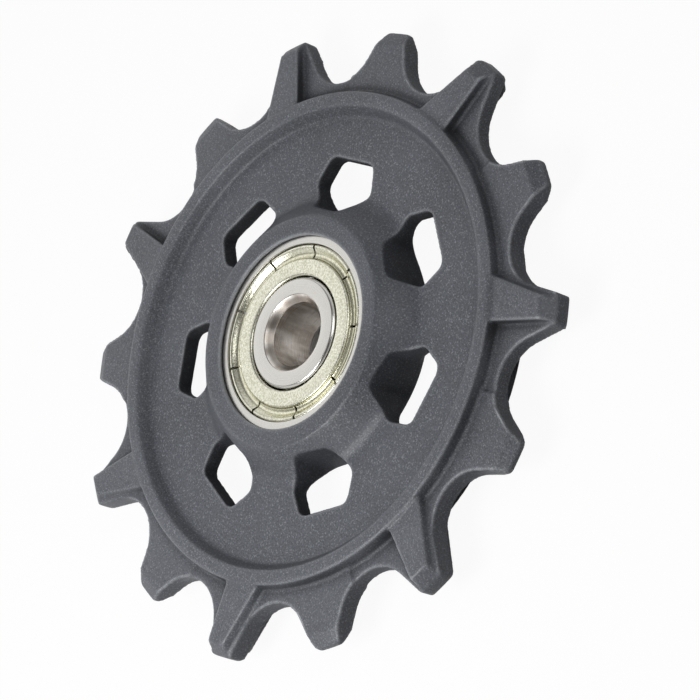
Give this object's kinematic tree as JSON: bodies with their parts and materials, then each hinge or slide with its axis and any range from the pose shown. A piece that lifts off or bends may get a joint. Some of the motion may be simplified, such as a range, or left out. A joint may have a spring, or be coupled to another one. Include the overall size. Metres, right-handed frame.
{
  "type": "derailleur jockey wheel",
  "caption": "Flat toothed pulley of dark plastic with alternating narrow and wide teeth on a shielded ball bearing, which guides the chain of a bicycle's rear derailleur.",
  "frame": {"origin": "on the axle, at the rear end of the hub, on which the wheel lies", "axes": "+Z along the axle towards the front face, +X through the middle of a wide tooth"},
  "size_m": [0.0595, 0.0592, 0.007],
  "materials": {
    "wheel_plastic": "moulded glass-filled nylon with a fine matt grain",
    "ring_steel": "ground bearing steel",
    "ball_steel": "polished bearing steel",
    "cage_steel": "pressed steel",
    "shield_zinc": "zinc plated sheet steel"
  },
  "bodies": {
    "inner_ring": {"bearing_inner_ring": "ring_steel"},
    "wheel": {"pulley_wheel": "wheel_plastic", "bearing_outer_ring": "ring_steel", "front_shield": "shield_zinc", "rear_shield": "shield_zinc"},
    "cage": {"cage_front_half": "cage_steel", "cage_rear_half": "cage_steel", "cage_rivets": "cage_steel"},
    "ball_1": {"ball_1": "ball_steel"},
    "ball_2": {"ball_2": "ball_steel"},
    "ball_3": {"ball_3": "ball_steel"},
    "ball_4": {"ball_4": "ball_steel"},
    "ball_5": {"ball_5": "ball_steel"},
    "ball_6": {"ball_6": "ball_steel"},
    "ball_7": {"ball_7": "ball_steel"}
  },
  "joints": [
    {"name": "wheel_spin", "type": "hinge", "parent": "inner_ring", "child": "wheel", "pos_m": [0, 0, 0.0035], "axis": [0, 0, 1], "continuous": true},
    {"name": "cage_spin", "type": "hinge", "parent": "inner_ring", "child": "cage", "pos_m": [0, 0, 0.0035], "axis": [0, 0, 1], "continuous": true},
    {"name": "ball_1_spin", "type": "hinge", "parent": "cage", "child": "ball_1", "pos_m": [0.0063, 0, 0.0035], "axis": [0, 0, 1], "continuous": true},
    {"name": "ball_2_spin", "type": "hinge", "parent": "cage", "child": "ball_2", "pos_m": [0.00393, 0.00493, 0.0035], "axis": [0, 0, 1], "continuous": true},
    {"name": "ball_3_spin", "type": "hinge", "parent": "cage", "child": "ball_3", "pos_m": [-0.0014, 0.00614, 0.0035], "axis": [0, 0, 1], "continuous": true},
    {"name": "ball_4_spin", "type": "hinge", "parent": "cage", "child": "ball_4", "pos_m": [-0.00568, 0.00273, 0.0035], "axis": [0, 0, 1], "continuous": true},
    {"name": "ball_5_spin", "type": "hinge", "parent": "cage", "child": "ball_5", "pos_m": [-0.00568, -0.00273, 0.0035], "axis": [0, 0, 1], "continuous": true},
    {"name": "ball_6_spin", "type": "hinge", "parent": "cage", "child": "ball_6", "pos_m": [-0.0014, -0.00614, 0.0035], "axis": [0, 0, 1], "continuous": true},
    {"name": "ball_7_spin", "type": "hinge", "parent": "cage", "child": "ball_7", "pos_m": [0.00393, -0.00493, 0.0035], "axis": [0, 0, 1], "continuous": true}
  ],
  "couplings": [
    {"joint": "cage_spin", "follows": "wheel_spin", "ratio": 0.63889},
    {"joint": "ball_1_spin", "follows": "wheel_spin", "ratio": 1.6611},
    {"joint": "ball_2_spin", "follows": "wheel_spin", "ratio": 1.6611},
    {"joint": "ball_3_spin", "follows": "wheel_spin", "ratio": 1.6611},
    {"joint": "ball_4_spin", "follows": "wheel_spin", "ratio": 1.6611},
    {"joint": "ball_5_spin", "follows": "wheel_spin", "ratio": 1.6611},
    {"joint": "ball_6_spin", "follows": "wheel_spin", "ratio": 1.6611},
    {"joint": "ball_7_spin", "follows": "wheel_spin", "ratio": 1.6611}
  ]
}
